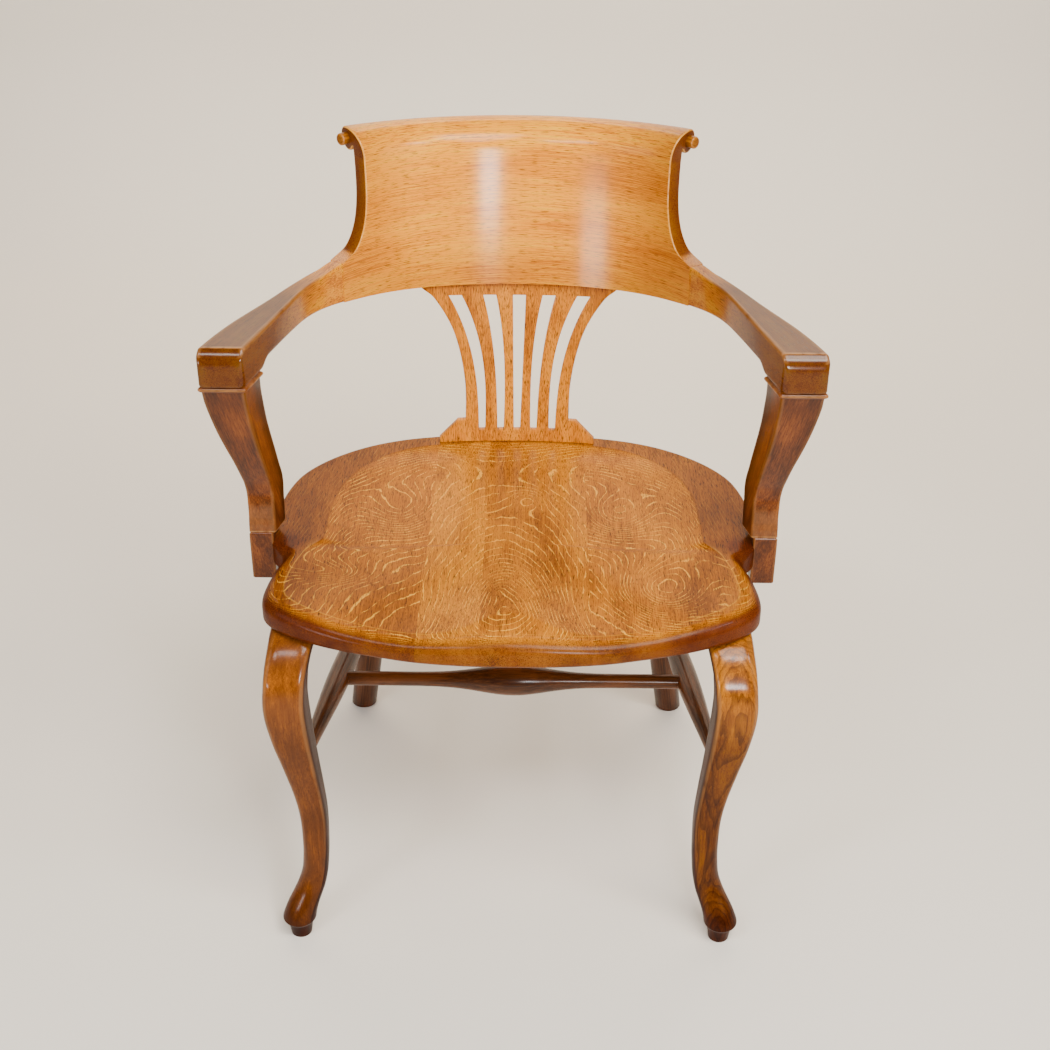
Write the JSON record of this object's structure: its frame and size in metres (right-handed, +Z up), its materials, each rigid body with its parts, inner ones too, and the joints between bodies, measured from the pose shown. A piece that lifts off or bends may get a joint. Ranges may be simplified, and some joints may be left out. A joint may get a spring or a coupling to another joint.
{
  "type": "captain's chair",
  "caption": "Oak captain's chair: bow back rolled into a scroll, pierced splat, shaped arms, dished seat, cabriole front legs and turned stretchers.",
  "frame": {"origin": "on the floor, midway between the chair's left and right extremes and midway between its front and back extremes", "axes": "+Z up, the sitter faces -Y, +X to the right as seen from in front"},
  "size_m": [0.6474, 0.535, 0.8409],
  "materials": {
    "seat_wood": "quarter-sawn oak, polished, golden brown with pale ray flecks",
    "panel_wood": "oak, polished golden orange, fine horizontal grain",
    "splat_wood": "oak, polished golden orange, coarse upright grain",
    "arm_wood": "oak, polished, darker brown",
    "leg_wood": "oak, polished, mid brown",
    "dark_wood": "oak, polished, very dark brown",
    "dowel_wood": "plain turned hardwood, unpolished",
    "screw_steel": "dull steel"
  },
  "bodies": {
    "root": {"seat_board_1": "seat_wood", "seat_board_2": "seat_wood", "seat_board_3": "seat_wood", "seat_board_4": "seat_wood", "front_leg_left": "leg_wood", "rear_leg_left": "dark_wood", "side_stretcher_left": "dark_wood", "scroll_boss_left": "dark_wood", "arm_left": "arm_wood", "arm_collar_left": "arm_wood", "arm_support_left": "arm_wood", "arm_dowel_1_left": "dowel_wood", "support_dowel_1_left": "dowel_wood", "support_screw_1_left": "screw_steel", "screw_plug_1_left": "arm_wood", "arm_dowel_2_left": "dowel_wood", "support_dowel_2_left": "dowel_wood", "support_screw_2_left": "screw_steel", "screw_plug_2_left": "arm_wood", "front_leg_right": "leg_wood", "rear_leg_right": "dark_wood", "side_stretcher_right": "dark_wood", "scroll_boss_right": "dark_wood", "arm_right": "arm_wood", "arm_collar_right": "arm_wood", "arm_support_right": "arm_wood", "arm_dowel_1_right": "dowel_wood", "support_dowel_1_right": "dowel_wood", "support_screw_1_right": "screw_steel", "screw_plug_1_right": "arm_wood", "arm_dowel_2_right": "dowel_wood", "support_dowel_2_right": "dowel_wood", "support_screw_2_right": "screw_steel", "screw_plug_2_right": "arm_wood", "cross_stretcher": "dark_wood", "back_panel": "panel_wood", "back_splat": "splat_wood"}
  },
  "joints": []
}
